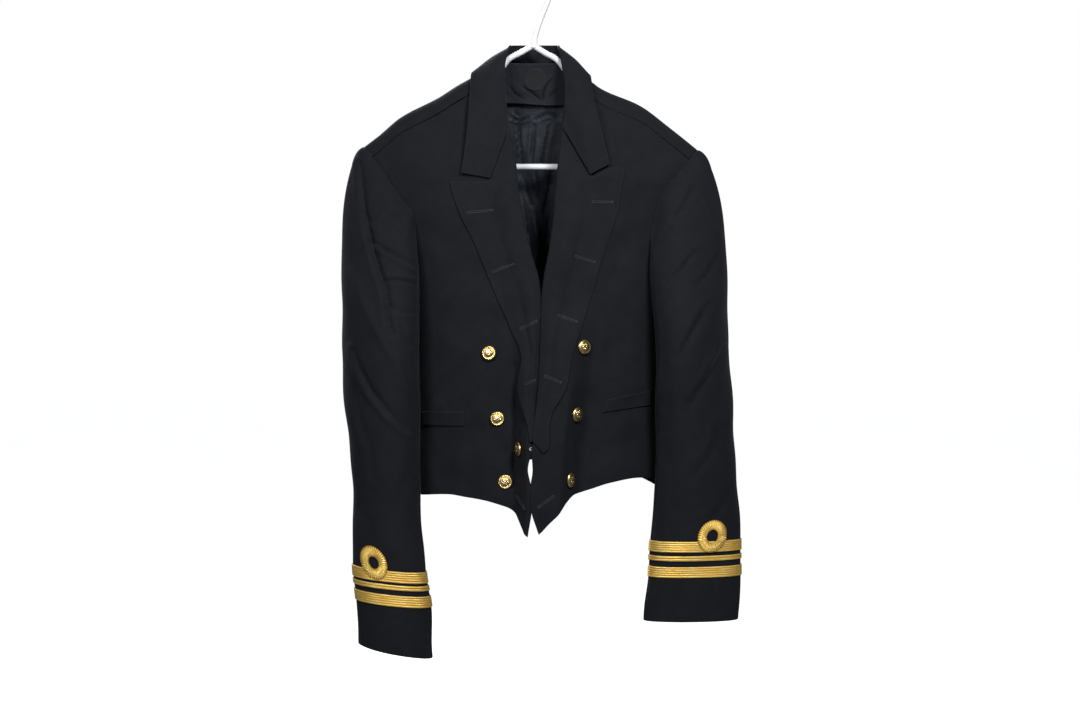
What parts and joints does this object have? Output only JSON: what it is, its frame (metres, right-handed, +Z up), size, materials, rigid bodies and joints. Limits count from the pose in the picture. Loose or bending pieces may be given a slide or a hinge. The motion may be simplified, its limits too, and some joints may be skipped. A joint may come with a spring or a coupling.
{
  "type": "mess jacket",
  "caption": "Short dark mess jacket with peaked lapels, gilt buttons and gold cuff lace with a curl, hanging on a white plastic hanger.",
  "frame": {"origin": "inside top of the hanger's hook, where a rail holds it", "axes": "+Z up, -Y out of the jacket's front, +X to the right as seen from the front (the wearer's left)"},
  "size_m": [0.515, 0.151, 0.8819],
  "materials": {
    "wool": "matte wool barathea",
    "satin": "satin lining",
    "label": "matte woven label, bare",
    "gold_lace": "metallic woven lace",
    "gilt": "polished gilt",
    "steel": "plain wire",
    "white_plastic": "satin gloss"
  },
  "bodies": {
    "root": {"front_right": "wool", "front_left": "wool", "back": "wool", "collar": "wool", "lapel_right": "wool", "lapel_left": "wool", "sleeve_right_top": "wool", "sleeve_right_under": "wool", "sleeve_left_top": "wool", "sleeve_left_under": "wool", "pocket_welt_right": "wool", "pocket_welt_left": "wool", "lace_right_upper": "gold_lace", "lace_right_middle": "gold_lace", "lace_right_lower": "gold_lace", "lace_left_upper": "gold_lace", "lace_left_middle": "gold_lace", "lace_left_lower": "gold_lace", "curl_right": "gold_lace", "curl_left": "gold_lace", "button_right_upper": "gilt", "button_right_middle": "gilt", "button_right_lower": "gilt", "button_left_upper": "gilt", "button_left_middle": "gilt", "button_left_lower": "gilt", "link_button": "gilt", "back_lining": "satin", "neck_label": "label", "link": "steel", "hanger": "white_plastic"}
  },
  "joints": []
}
